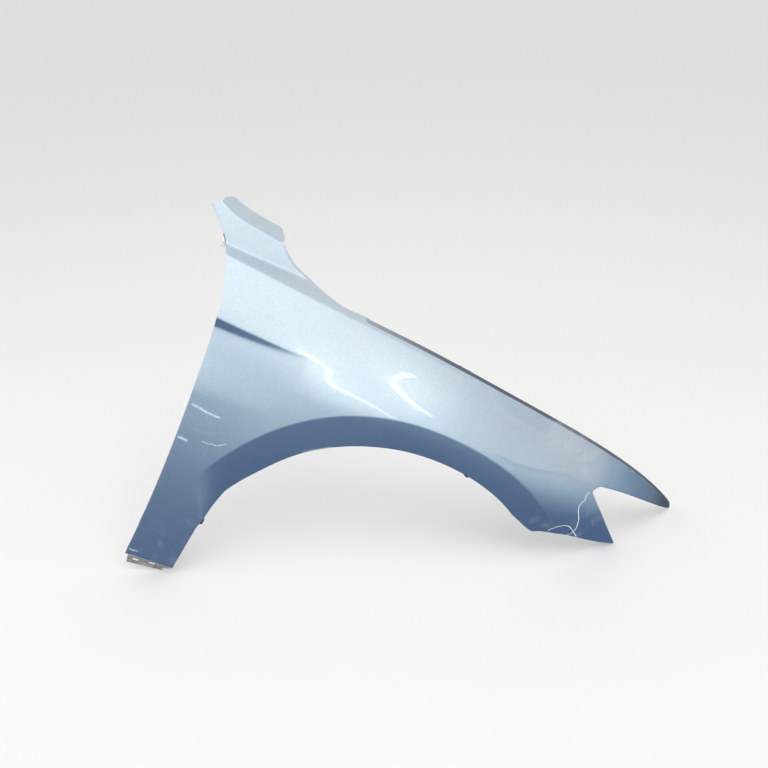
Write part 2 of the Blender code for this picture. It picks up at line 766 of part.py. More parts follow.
def main():
    clear_scene()
    frame = bpy.data.objects.new("car_frame", None)
    bpy.context.collection.objects.link(frame)
    paint = material("metallic_paint", (0.36, 0.50, 0.62), 0.32, 0.55, 1.0)
    metal = material("bare_sheet", (0.36, 0.34, 0.31), 0.6, 0.7)
    black = material("black_plastic", (0.02, 0.02, 0.022), 0.5)
    white = material("white_plastic", (0.80, 0.79, 0.75), 0.45)
    seats = make_panel(frame, paint)
    make_bracket(frame, metal)
    spring_clip("liner_clip_rear", seats["leg_step_1"], black, frame, head=True)
    spring_clip("liner_clip_front", seats["arch_1"], black, frame, head=True)
    spring_clip("bumper_clip_rear", seats["lower_1"], black, frame, head=False)
    spring_clip("bumper_clip_front", seats["lower_2"], black, frame, head=False)
    make_pillar_clip(seats["door_top_1"], white, frame)
    datum = seats["hood_2"] @ Vector((BESIDE_HOLE, SEAT_REACH / 2, -SHEET))
    frame.rotation_euler = (0, NOSE_DOWN, 0)
    frame.location = -(Matrix.Rotation(NOSE_DOWN, 3, "Y") @ datum)


main()
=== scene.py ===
import bpy
import bmesh
import numpy as np
from math import acos, cos, hypot, pi, radians, sin
from mathutils import Matrix, Vector
from mathutils.geometry import delaunay_2d_cdt, interpolate_bezier


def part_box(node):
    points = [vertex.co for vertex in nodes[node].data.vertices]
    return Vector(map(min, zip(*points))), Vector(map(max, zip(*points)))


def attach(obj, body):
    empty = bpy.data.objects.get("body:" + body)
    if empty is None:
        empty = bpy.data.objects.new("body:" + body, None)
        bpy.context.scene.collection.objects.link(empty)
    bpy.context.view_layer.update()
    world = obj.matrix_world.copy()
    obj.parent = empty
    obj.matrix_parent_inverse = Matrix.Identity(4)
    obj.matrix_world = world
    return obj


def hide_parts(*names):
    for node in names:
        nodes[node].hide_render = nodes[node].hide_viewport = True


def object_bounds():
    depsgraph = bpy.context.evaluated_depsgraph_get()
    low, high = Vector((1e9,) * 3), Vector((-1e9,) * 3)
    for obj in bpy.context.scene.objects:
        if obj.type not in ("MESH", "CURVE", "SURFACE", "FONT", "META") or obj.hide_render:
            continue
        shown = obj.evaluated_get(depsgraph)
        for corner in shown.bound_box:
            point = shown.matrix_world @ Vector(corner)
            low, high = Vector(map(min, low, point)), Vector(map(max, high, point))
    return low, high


# Looks of a right-hand front fender in silver-blue metallic paint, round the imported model.
# The skin is pressed again here with a finer mesh and rounded folds; the bracket and the
# clips keep their own solids and get finished materials.

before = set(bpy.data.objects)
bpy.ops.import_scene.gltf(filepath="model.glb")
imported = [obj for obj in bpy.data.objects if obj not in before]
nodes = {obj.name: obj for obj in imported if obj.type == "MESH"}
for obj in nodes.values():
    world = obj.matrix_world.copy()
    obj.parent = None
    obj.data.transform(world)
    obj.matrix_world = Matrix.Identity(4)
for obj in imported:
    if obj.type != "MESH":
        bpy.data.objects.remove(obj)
cadLow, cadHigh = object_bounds()


# Node helpers

class Signal:
    # one output socket that can stand in sums
    def __init__(self, shader, socket):
        self.shader = shader
        self.socket = socket

    def math(self, operation, *others):
        values = dict(enumerate((self,) + others))
        return self.shader.add("ShaderNodeMath", {"operation": operation}, values)

    def flipped(self, operation, other):
        return self.shader.add("ShaderNodeMath", {"operation": operation}, {0: other, 1: self})

    def __add__(self, other):
        return self.math("ADD", other)

    def __radd__(self, other):
        return self.flipped("ADD", other)

    def __sub__(self, other):
        return self.math("SUBTRACT", other)

    def __rsub__(self, other):
        return self.flipped("SUBTRACT", other)

    def __mul__(self, other):
        return self.math("MULTIPLY", other)

    def __rmul__(self, other):
        return self.flipped("MULTIPLY", other)

    def over(self, low, high):
        # 0 below low, 1 above high, smooth between
        settings = {"interpolation_type": "SMOOTHSTEP"}
        values = {"Value": self, "From Min": low, "From Max": high}
        return self.shader.add("ShaderNodeMapRange", settings, values)

    def under(self, low, high):
        return 1 - self.over(low, high)


class Shader:
    def __init__(self, name, world=False):
        self.material = (bpy.data.worlds if world else bpy.data.materials).new(name)
        self.material.use_nodes = True
        self.tree = self.material.node_tree
        self.surface = self.tree.nodes["Background" if world else "Principled BSDF"]
        self.place = self.add("ShaderNodeTexCoord", out="Generated" if world else "Object")

    def put(self, socket, value):
        if isinstance(value, Signal):
            self.tree.links.new(value.socket, socket)
        elif isinstance(value, tuple) and socket.type == "RGBA" and len(value) == 3:
            socket.default_value = (*value, 1)
        else:
            socket.default_value = value

    def fill(self, node, values):
        for name, value in values.items():
            self.put(node.inputs[name], value)

    def add(self, kind, settings=None, values=None, out=0):
        node = self.tree.nodes.new(kind)
        for name, setting in (settings or {}).items():
            setattr(node, name, setting)
        self.fill(node, values or {})
        return Signal(self, node.outputs[out])

    def mix(self, factor, a, b, blend="MIX"):
        settings = {"data_type": "RGBA", "blend_type": blend}
        return self.add("ShaderNodeMix", settings, {0: factor, 6: a, 7: b}, out=2)

    def noise(self, scale, detail, roughness, place=None):
        values = {"Vector": place or self.place, "Scale": scale, "Detail": detail, "Roughness": roughness}
        return self.add("ShaderNodeTexNoise", {}, values, out="Fac")

    def cells(self, scale):
        return self.add("ShaderNodeTexVoronoi", {}, {"Vector": self.place, "Scale": scale}, out="Color")

    def axis(self, letter, place=None):
        return self.add("ShaderNodeSeparateXYZ", {}, {0: place or self.place}, out=letter)

    def bump(self, height, distance, strength):
        values = {"Height": height, "Distance": distance, "Strength": strength}
        return self.add("ShaderNodeBump", {}, values)

    def vector(self, operation, *inputs, out="Vector"):
        return self.add("ShaderNodeVectorMath", {"operation": operation}, dict(enumerate(inputs)), out=out)

    def awayFrom(self, path):
        # distance from a line through given points, in metres
        nearest = None
        for a, b in zip(path, path[1:]):
            run = Vector(b) - Vector(a)
            reach = self.vector("SUBTRACT", self.place, tuple(a))
            share = self.vector("DOT_PRODUCT", reach, tuple(run / run.length_squared), out="Value")
            share = share.math("MAXIMUM", 0.0).math("MINIMUM", 1.0)
            foot = self.add("ShaderNodeVectorMath", {"operation": "SCALE"}, {0: tuple(run), "Scale": share})
            away = self.vector("DISTANCE", reach, foot, out="Value")
            nearest = away if nearest is None else nearest.math("MINIMUM", away)
        return nearest

    def stretched(self, turn, scale):
        return self.add("ShaderNodeMapping", {}, {"Vector": self.place, "Rotation": turn, "Scale": scale})


# Skin: the same form as the solid, in the car's own frame (x to the nose, y inboard, z up,
# origin at the wheel-arch centre), with rounded folds

skin = {
    "noseDown": radians(20),
    "sheet": 0.0010,
    "shoulder": ((-0.450, 0.599), (0.0995, 0.519), (0.379, 0.483), (0.650, 0.273)),
    "shoulderSteps": 240,
    "overrun": 0.1,           # the shoulder crease goes on straight this far past both ends
    "arch": {"radius": 0.350, "rear": radians(167.5), "front": radians(50)},
    "lipDip": {"depth": 0.009, "at": radians(142), "span": radians(13)},
    "band": {"width": 0.061, "swell": 0.022, "swellAt": radians(112), "swellSpan": radians(26),
             "inset": 0.024, "insetFront": 0.018, "eases": (radians(100), radians(62)),
             "runOut": (-0.2990, -0.2525)},
    "sweep": {"front": 0.25, "turn": 0.35, "rear": 0.20, "rearFrom": -0.164},
    "tumble": {"depth": 0.045, "height": 0.160, "power": 2.2},
    "ledge": {"depth": 0.036, "depthDoor": 0.022, "span": (-0.44, -0.31), "slope": 0.28, "lean": 0.20},
    "roll": {"amount": 1.20, "height": 0.335, "from": 0.126, "span": 0.25},
    "wedge": {"length": 0.162, "height": 0.0215, "taper": 0.7, "depth": 0.0145, "fade": 0.130,
              "tip": (-0.256, 0.484), "slope": 0.109},
    "bead": {"height": 0.0006, "width": 0.0022, "grows": 3},
    "ridges": {"width": 0.0060, "fade": 0.030,
               "lines": ((0.0008, ((0.080, 0.4955), (0.262, 0.4480))),
                         (0.0007, ((0.105, 0.4165), (0.163, 0.4043), (0.206, 0.3988), (0.274, 0.4007),
                                   (0.352, 0.3760))))},
    "strip": {"rear": 0.0046, "front": 0.00296, "narrows": (-0.10, 0.20)},
    # corners of the outline
    "foot": ((-0.4695, -0.078), (-0.372, -0.078)),
    "legStep": (-0.350, 0.050),
    "doorWaist": (-0.417, 0.530),
    "legTip": (-0.477, 0.656),
    "cowl": ((-0.463, 0.668), (-0.347, 0.631)),
    "hoodRear": -0.226,
    "nose": {"x": 0.641, "low": (0.636, 0.277), "bare": 0.575},
    "lampStart": (0.371, 0.375),
    "notch": (0.354, 0.363),
    "lowerTip": (0.4975, 0.2195),
    "lowerRear": (0.286, 0.235),
    # handles of its curves; the corner's first one is taken from the end of the arch
    "corner": {"leaves": (0.022, -0.011), "arrives": (0.266, 0.240), "steps": 8},
    "handles": {
        "lower": ((0.335, 0.268), (0.395, 0.232)),
        "notch": ((0.3545, 0.370), (0.362, 0.3755)),
        "lamp": ((0.445, 0.363), (0.540, 0.3265)),
        "legFront": ((-0.285, 0.580), (-0.333, 0.596)),
        "cowl": ((-0.395, 0.641), (-0.443, 0.648)),
        "doorTop": ((-0.443, 0.622), (-0.419, 0.580)),
        "door": ((-0.418, 0.360), (-0.444, 0.080)),
    },
    "pathSteps": 48,
    "notchSteps": 6,
    # return flanges, bolt seats and clip holes
    "relief": 0.004,
    "flange": {"edge": 0.012, "arch": 0.014, "leg": 0.009, "legLeast": 0.2, "legThins": 0.035,
               "door": 0.014, "hoodWall": 0.012, "hoodDrift": 0.0005, "hoodSeat": 0.010, "parts": 2},
    "cowlFace": {"width": 0.036, "rise": 0.009, "turn": radians(17), "ends": 0.3, "ease": 0.016, "parts": 4},
    "seat": {"reach": 0.0179, "width": 0.026, "hole": 0.0034, "parts": 3},
    "clip": {"seat": 0.016, "reach": 0.010, "hole": 0.0022},
    "seats": {"hood": (0.10, 0.38, 0.70, 0.95), "door": (0.30, 0.86), "lamp": (0.88,), "bumper": (0.50,)},
    "clips": {"doorTop": (0.385,), "legStep": (0.50,), "arch": (0.80,), "lower": (0.53, 0.84)},
    "drill": {"facets": 28, "depth": 0.008},
    # mesh
    "step": 0.0048,           # spacing of the points
    "rowShare": 0.866,        # rows of the field are this share of a step apart
    "bias": 0.3,              # rounds the number of parts of an edge up a little
    "gaps": {"crease": 0.0015, "field": 0.0030},
    "rows": {"offsets": (-0.0044, -0.0018, 0.0, 0.0018, 0.0044), "shoulderFrom": -0.445,
             "ledge": (-0.450, -0.290), "wedgeFrom": -0.425, "wedgeLowStop": 0.02,
             "bandFrom": radians(35)},
    "tiny": 1e-6,
    "fold": 0.0015,           # radius over which the pressed creases are rounded
    "foldRing": 8,            # points of the ring that rounds them
    "edgeRound": 0.0012,      # radius of the folded edges
    "edgeAngle": radians(55),
    "edgeParts": 2,
    "sharp": radians(40),
}


def smooth(t):
    t = np.clip(t, 0.0, 1.0)
    return t * t * (3 - 2 * t)


def between(a, b, t):
    return a + (b - a) * t


def curve(points, steps):
    knots = [Vector((p[0], p[1], 0)) for p in points]
    return [(p.x, p.y) for p in interpolate_bezier(*knots, steps + 1)]


def withOverrun(points, overrun):
    head, tail = points[1] - points[0], points[-1] - points[-2]
    return np.vstack([points[0] - overrun * (head / head[0]), points,
                      points[-1] + overrun * (tail / tail[0])])


shoulderPath = withOverrun(np.array(curve(skin["shoulder"], skin["shoulderSteps"])), skin["overrun"])


def shoulderHeight(x):
    return np.interp(x, shoulderPath[:, 0], shoulderPath[:, 1])


def hoodEdge(x):
    near, far = skin["strip"]["narrows"]
    share = smooth((np.asarray(x, float) - near) / (far - near))
    return shoulderHeight(x) + between(skin["strip"]["rear"], skin["strip"]["front"], share)


def lipRadius(angle):
    dip = skin["lipDip"]
    return skin["arch"]["radius"] - dip["depth"] * np.exp(-((angle - dip["at"]) / dip["span"]) ** 2)


def bandWidth(angle):
    band = skin["band"]
    return band["width"] + band["swell"] * np.exp(-((angle - band["swellAt"]) / band["swellSpan"]) ** 2)


def bandShare(x, z):
    # towards the leg the band ends at a line that is upright as the fender stands, and runs out from there
    gone, full = skin["band"]["runOut"]
    across = x * cos(skin["noseDown"]) + z * sin(skin["noseDown"])
    return np.clip((across - gone) / (full - gone), 0, 1)


def wedgeTop(x):
    tip = skin["wedge"]["tip"]
    return tip[1] + (tip[0] - x) * skin["wedge"]["slope"]


def wedgeShare(x):
    return np.clip((skin["wedge"]["tip"][0] - x) / skin["wedge"]["length"], 0, 1)


def wedgeLow(x):
    return wedgeTop(x) - skin["wedge"]["height"] * wedgeShare(x) ** skin["wedge"]["taper"]


def ledgeRise(x):
    ledge = skin["ledge"]
    door, front = ledge["span"]
    share = np.clip((x - door) / (front - door), 0, 1)
    return ledge["slope"] * between(ledge["depthDoor"], ledge["depth"], share)


# how far inboard the outer face lies, form by form, with sharp folds

def sweepDepth(x, z):
    sweep = skin["sweep"]
    ahead = sweep["front"] * x ** 2 + sweep["turn"] * x ** 4
    behind = sweep["rear"] * (x - sweep["rearFrom"]) ** 2
    return np.where(x > 0, ahead, np.where(x < sweep["rearFrom"], behind, 0.0))


def tumbleDepth(x, z):
    tumble = skin["tumble"]
    drop = np.maximum(shoulderHeight(x) - z, 0)
    return tumble["depth"] * np.clip(1 - drop / tumble["height"], 0, 1) ** tumble["power"]


def ledgeDepth(x, z):
    ledge, top = skin["ledge"], ledgeRise(x)
    rise = np.maximum(z - shoulderHeight(x), 0)
    return np.minimum(rise, top) / ledge["slope"] + ledge["lean"] * np.maximum(rise - top, 0)


def wedgeDepth(x, z):
    wedge, top, low = skin["wedge"], wedgeTop(x), wedgeLow(x)
    face = np.clip((top - z) / np.maximum(top - low, skin["tiny"]), 0, 1)
    return wedge["depth"] * wedgeShare(x) * face * (1 - smooth((low - z) / wedge["fade"]))


def beadDepth(x, z):
    bead = skin["bead"]
    away = (z - wedgeLow(x)) / bead["width"]
    return -bead["height"] * smooth(bead["grows"] * wedgeShare(x)) * np.exp(-away ** 2)


def bandDepth(x, z):
    band = skin["band"]
    angle = np.arctan2(z, x)
    width = bandWidth(angle)
    over = np.maximum(skin["arch"]["radius"] + width - np.hypot(x, z), 0)
    start, end = band["eases"]
    inset = between(band["inset"], band["insetFront"], smooth((angle - start) / (end - start)))
    return np.where((z > 0) & (angle > 0), inset * over / width * bandShare(x, z), 0.0)


def rollDepth(x, z):
    roll = skin["roll"]
    strength = roll["amount"] * smooth((x - roll["from"]) / roll["span"])
    return strength * np.maximum(roll["height"] - z, 0) ** 2


def ridgeDepth(x, z):
    ridges, total = skin["ridges"], 0
    for height, path in ridges["lines"]:
        crest = np.array(path)
        away = (z - np.interp(x, crest[:, 0], crest[:, 1])) / ridges["width"]
        ends = smooth((x - crest[0, 0]) / ridges["fade"]) * smooth((crest[-1, 0] - x) / ridges["fade"])
        total = total - height * ends * np.exp(-away ** 2)
    return total


forms = (sweepDepth, tumbleDepth, ledgeDepth, wedgeDepth, beadDepth, bandDepth, rollDepth, ridgeDepth)


def sharpDepth(x, z):
    return sum(form(x, z) for form in forms)


def depthAt(x, z):
    # the same with every fold rounded: the mean of the middle, counted twice, and a small ring round it
    x, z = np.asarray(x, float), np.asarray(z, float)
    ring = skin["foldRing"]
    total = 2 * sharpDepth(x, z)
    for turn in np.arange(ring) * 2 * pi / ring:
        total = total + sharpDepth(x + skin["fold"] * cos(turn), z + skin["fold"] * sin(turn))
    return total / (ring + 2)


def skinPoint(x, z):
    return Vector((x, float(depthAt(x, z)), z))


def archLip():
    arch, steps = skin["arch"], skin["pathSteps"]
    angles = np.linspace(arch["rear"], arch["front"], steps + 1)
    return [(float(lipRadius(a) * cos(a)), float(lipRadius(a) * sin(a))) for a in angles]


def hoodRun(front, rear):
    return [(float(x), float(hoodEdge(x))) for x in np.linspace(front, rear, skin["pathSteps"] + 1)]


def outline():
    # the edges in turn, from the foot forwards along the arch and back along the hood and the door
    def bent(name, start, end, steps=skin["pathSteps"]):
        return curve((start, *skin["handles"][name], end), steps)

    footRear, footFront = skin["foot"]
    cowlRear, cowlFront = skin["cowl"]
    nose, corner, lowerRear = skin["nose"], skin["corner"], skin["lowerRear"]
    arch = archLip()
    end = arch[-1]
    leaves = (end[0] + corner["leaves"][0], end[1] + corner["leaves"][1])
    hood = hoodRun(nose["bare"], skin["hoodRear"])
    tip = hoodRun(nose["x"], nose["bare"])
    lamp = bent("lamp", skin["lampStart"], nose["low"])
    bare = next(i for i, p in enumerate(lamp) if p[0] > nose["bare"])
    return [
        ("foot", [footRear, footFront]),
        ("legEdge", [footFront, skin["legStep"]]),
        ("legStep", [skin["legStep"], arch[0]]),
        ("arch", arch),
        ("archCorner", curve((end, leaves, corner["arrives"], lowerRear), corner["steps"])),
        ("lower", bent("lower", lowerRear, skin["lowerTip"])),
        ("bumper", [skin["lowerTip"], skin["notch"]]),
        ("notch", bent("notch", skin["notch"], skin["lampStart"], skin["notchSteps"])),
        ("lamp", lamp[:bare + 1]),
        ("noseLower", lamp[bare:]),
        ("nose", [nose["low"], tip[0]]),
        ("noseUpper", tip),
        ("hood", hood),
        ("legFront", bent("legFront", hood[-1], cowlFront)),
        ("cowl", bent("cowl", cowlFront, cowlRear)),
        ("legTop", [cowlRear, skin["legTip"]]),
        ("doorTop", bent("doorTop", skin["legTip"], skin["doorWaist"])),
        ("door", bent("door", skin["doorWaist"], footRear)),
    ]


def pathLengths(path):
    steps = np.hypot(*np.diff(np.array(path), axis=0).T)
    return np.concatenate([[0], np.cumsum(steps)])


def alongPath(path, run, where):
    points = np.array(path)
    return float(np.interp(where, run, points[:, 0])), float(np.interp(where, run, points[:, 1]))


def edgePoints(name, path):
    # evenly spaced points along one edge; the ends of each seat always get one
    run = pathLengths(path)
    total = run[-1]
    fixed = {0.0, total}
    if total > 4 * skin["relief"]:
        fixed |= {skin["relief"], total - skin["relief"]}
    spans = []
    for shares, width in ((skin["seats"].get(name, ()), skin["seat"]["width"]),
                          (skin["clips"].get(name, ()), skin["clip"]["seat"])):
        for share in shares:
            spans.append((share * total - width / 2, share * total + width / 2))
            fixed |= set(spans[-1])
    knots = sorted(fixed)
    places = [knots[0]]
    for a, b in zip(knots, knots[1:]):
        parts = max(1, round((b - a) / skin["step"] + skin["bias"]))
        places += [between(a, b, (i + 1) / parts) for i in range(parts)]
    marks = [(min(range(len(places)), key=lambda i: abs(places[i] - a)),
              min(range(len(places)), key=lambda i: abs(places[i] - b))) for a, b in spans]
    return [alongPath(path, run, s) for s in places], marks


def creasePoints():
    # rows of points beside each crease, so that its round has enough facets
    rows, band, step = skin["rows"], skin["band"], skin["step"]
    radius, tipX = skin["arch"]["radius"], skin["wedge"]["tip"][0]
    points = []

    def rowsAlong(start, end, height):
        xs = np.arange(start, end, step)
        for offset in rows["offsets"]:
            points.extend((float(x), float(height(x) + offset)) for x in xs)

    def roundArch(radii, angles):
        points.extend((float(r * cos(a)), float(r * sin(a))) for r, a in zip(radii, angles))

    rowsAlong(rows["shoulderFrom"], skin["nose"]["x"], shoulderHeight)
    rowsAlong(*rows["ledge"], lambda x: shoulderHeight(x) + ledgeRise(x))
    rowsAlong(rows["wedgeFrom"], tipX, wedgeTop)
    rowsAlong(rows["wedgeFrom"], tipX - rows["wedgeLowStop"], wedgeLow)
    gone, full = band["runOut"]
    outer = radius + band["width"]
    angles = np.arange(rows["bandFrom"], skin["noseDown"] + acos(gone / outer), step / radius)
    radii = np.arange(radius, outer, step)
    for offset in rows["offsets"]:
        roundArch([radius + bandWidth(a) + offset for a in angles], angles)
        roundArch(radii, [skin["noseDown"] + acos((full + offset) / r) for r in radii])
    for _, path in skin["ridges"]["lines"]:
        crest = np.array(path)
        rowsAlong(crest[0, 0], crest[-1, 0], lambda x: np.interp(x, crest[:, 0], crest[:, 1]))
    return points


def inside(points, border):
    # those of the points that lie within the border
    x, z = np.array(points).T
    mask = np.zeros(len(points), bool)
    for (xa, za), (xb, zb) in zip(border, border[1:] + border[:1]):
        if za != zb:
            mask ^= ((za > z) != (zb > z)) & (x < xa + (z - za) / (zb - za) * (xb - xa))
    return [p for p, within in zip(points, mask) if within]


def spread(candidates, taken, gap):
    # keeps the candidates that are clear of what is there already
    cells = {}
    for p in taken:
        cells.setdefault((int(p[0] // gap), int(p[1] // gap)), []).append(p)
    kept = []
    for p in candidates:
        i, j = int(p[0] // gap), int(p[1] // gap)
        around = (q for a in (-1, 0, 1) for b in (-1, 0, 1) for q in cells.get((i + a, j + b), ()))
        if all(hypot(p[0] - q[0], p[1] - q[1]) > gap for q in around):
            kept.append(p)
            cells.setdefault((i, j), []).append(p)
    return kept


def fillPoints(border):
    step, gaps = skin["step"], skin["gaps"]
    low, high = np.min(border, axis=0), np.max(border, axis=0)
    field = [(x + (step / 2 if row % 2 else 0), z)
             for row, z in enumerate(np.arange(low[1], high[1], step * skin["rowShare"]))
             for x in np.arange(low[0], high[0], step)]
    nearCreases = spread(inside(creasePoints(), border), border, gaps["crease"])
    return nearCreases + spread(inside(field, border), border + nearCreases, gaps["field"])


def pressSkin(bm):
    # meshes the outline and pushes it to its depth; gives each edge's vertices and seats
    border, spans = [], {}
    for name, path in outline():
        points, marks = edgePoints(name, path)
        spans[name] = (len(border), len(points), marks)
        border += points[:-1]
    flat = [Vector(p) for p in border + fillPoints(border)]
    ring = list(range(len(border)))
    edges = [(i, (i + 1) % len(border)) for i in ring]
    verts, _, faces, sources, _, _ = delaunay_2d_cdt(flat, edges, [ring], 1, skin["tiny"])
    xs, zs = np.array([v.x for v in verts]), np.array([v.y for v in verts])
    made = [bm.verts.new((x, y, z)) for x, y, z in zip(xs, depthAt(xs, zs), zs)]
    for face in faces:
        a, b, c = (verts[i] for i in face[:3])
        corners = [made[i] for i in face]
        bm.faces.new(corners if (b - a).cross(c - a) > 0 else corners[::-1])
    found = {old: made[i] for i, source in enumerate(sources) for old in source}
    return {name: ([found[(first + i) % len(border)] for i in range(count)], marks)
            for name, (first, count, marks) in spans.items()}


def fold(bm, chain, moves):
    previous = list(chain)
    for move in moves:
        fresh = [bm.verts.new(v.co + move(v.co)) for v in previous]
        for a, b, c, d in zip(previous, previous[1:], fresh[1:], fresh):
            bm.faces.new((b, a, d, c))
        previous = fresh
    return previous


def addFlanges(bm, chains):
    # turns the edges in, and gives each hole's centre, axis and radius
    inboard = Vector((0, 1, 0))
    flange, face, seat, clip = (skin[name] for name in ("flange", "cowlFace", "seat", "clip"))
    cowlRear, cowlFront = skin["cowl"]
    parts = flange["parts"]
    holes = []

    def run(name, moves, seats=False):
        chain, marks = chains[name]
        free = fold(bm, chain[1:-1], moves)
        for a, b in marks:
            span = free[a - 1:b]
            middle = (span[0].co + span[-1].co) / 2
            normal = inboard.cross((span[-1].co - span[0].co).normalized()).normalized()
            if seats:
                fold(bm, span, [lambda co: inboard * seat["reach"] / seat["parts"]] * seat["parts"])
                holes.append((middle + inboard * seat["reach"] / 2, normal, seat["hole"]))
            elif name != "doorTop":       # the clip there only grips the edge
                holes.append((middle - inboard * clip["reach"] / 2, normal, clip["hole"]))

    def turned(width):
        return [lambda co: inboard * width / parts] * parts

    def cowlMove(co):
        across = Vector((sin(face["turn"]), 0, cos(face["turn"])))
        ends = float(smooth(min(co.x - cowlRear[0], cowlFront[0] - co.x) / face["ease"]))
        share = between(face["ends"], 1, ends)
        return (inboard * face["width"] + across * face["rise"]) * share / face["parts"]

    def legMove(co):
        fades = float(smooth((skin["hoodRear"] - co.x) / flange["legThins"]))
        return inboard * flange["leg"] * between(flange["legLeast"], 1, fades) / parts

    wall = [lambda co: Vector((0, flange["hoodDrift"], -flange["hoodWall"] / parts))] * parts
    run("legEdge", turned(flange["edge"]))
    run("legStep", turned(flange["arch"]))
    run("arch", turned(flange["arch"]))
    run("lower", turned(flange["edge"]))
    run("bumper", turned(flange["edge"]), seats=True)
    run("lamp", turned(flange["edge"]), seats=True)
    run("hood", wall + turned(flange["hoodSeat"]), seats=True)
    run("legFront", [legMove] * parts)
    run("cowl", [cowlMove] * face["parts"])
    run("doorTop", turned(flange["door"]))
    run("door", turned(flange["door"]), seats=True)
    return holes


def makeObject(bm, name, material=None):
    mesh = bpy.data.meshes.new(name)
    bm.normal_update()
    bm.to_mesh(mesh)
    bm.free()
    mesh.shade_smooth()
    mesh.set_sharp_from_angle(angle=radians(30))
    made = bpy.data.objects.new(name, mesh)
    bpy.context.scene.collection.objects.link(made)
    if material:
        mesh.materials.append(material)
    return made


def applyModifiers(target):
    bpy.context.view_layer.update()
    evaluated = target.evaluated_get(bpy.context.evaluated_depsgraph_get())
    mesh = bpy.data.meshes.new_from_object(evaluated)
    target.modifiers.clear()
    old = target.data
    target.data = mesh
    bpy.data.meshes.remove(old)


def drill(target, holes):
    bm = bmesh.new()
    for centre, axis, radius in holes:
        place = Matrix.Translation(centre) @ axis.to_track_quat("Z", "Y").to_matrix().to_4x4()
        bmesh.ops.create_cone(bm, cap_ends=True, segments=skin["drill"]["facets"], radius1=radius,
                              radius2=radius, depth=skin["drill"]["depth"], matrix=place)
    cutter = makeObject(bm, "skinHoles")
    cut = target.modifiers.new("holes", "BOOLEAN")
    cut.operation = "DIFFERENCE"
    cut.solver = "EXACT"
    cut.object = cutter
    applyModifiers(target)
    bpy.data.objects.remove(cutter, do_unlink=True)


print("pressing the skin")
pressing = bmesh.new()
boltHoles = addFlanges(pressing, pressSkin(pressing))
fenderSkin = makeObject(pressing, "fenderSkin")
rounding = fenderSkin.modifiers.new("edges", "BEVEL")
rounding.limit_method = "ANGLE"
rounding.angle_limit = skin["edgeAngle"]
rounding.width = skin["edgeRound"]
rounding.segments = skin["edgeParts"]
sheet = fenderSkin.modifiers.new("sheet", "SOLIDIFY")
sheet.solidify_mode = "NON_MANIFOLD"
sheet.nonmanifold_thickness_mode = "CONSTRAINTS"
sheet.thickness = skin["sheet"]
sheet.offset = -1
applyModifiers(fenderSkin)
drill(fenderSkin, boltHoles)

# nose down, with its lowest corner where the solid has it
tilt = Matrix.Rotation(skin["noseDown"], 4, "Y")
tilted = np.array([tilt @ v.co for v in fenderSkin.data.vertices])
standing = Matrix.Translation(Vector(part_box("fender_panel")[0]) - Vector(tilted.min(axis=0))) @ tilt
fenderSkin.data.transform(standing)
fenderSkin.data.shade_smooth()
fenderSkin.data.set_sharp_from_angle(angle=skin["sharp"])
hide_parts("fender_panel")
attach(fenderSkin, "root")
print("skin:", len(fenderSkin.data.polygons), "faces")


# Paint

